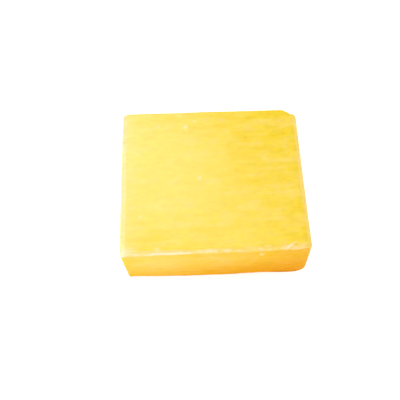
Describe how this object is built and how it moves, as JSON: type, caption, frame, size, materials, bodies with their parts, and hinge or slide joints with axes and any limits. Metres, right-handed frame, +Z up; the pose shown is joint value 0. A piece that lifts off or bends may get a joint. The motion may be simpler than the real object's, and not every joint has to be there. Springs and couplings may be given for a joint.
{
  "type": "detailing clay bar",
  "caption": "Solid rectangular bar of soft yellow detailing clay with rounded, slightly uneven edges and a flat base, for lifting grime from car paint.",
  "frame": {"origin": "centre of the flat base, on the surface that the bar lies on", "axes": "+X along the bar's long side, left to right; +Y from the front face to the back; +Z up through its thickness"},
  "size_m": [0.0724, 0.0642, 0.0279],
  "materials": {
    "detailing_clay": "satin"
  },
  "bodies": {
    "root": {"clay_bar": "detailing_clay"}
  },
  "joints": []
}
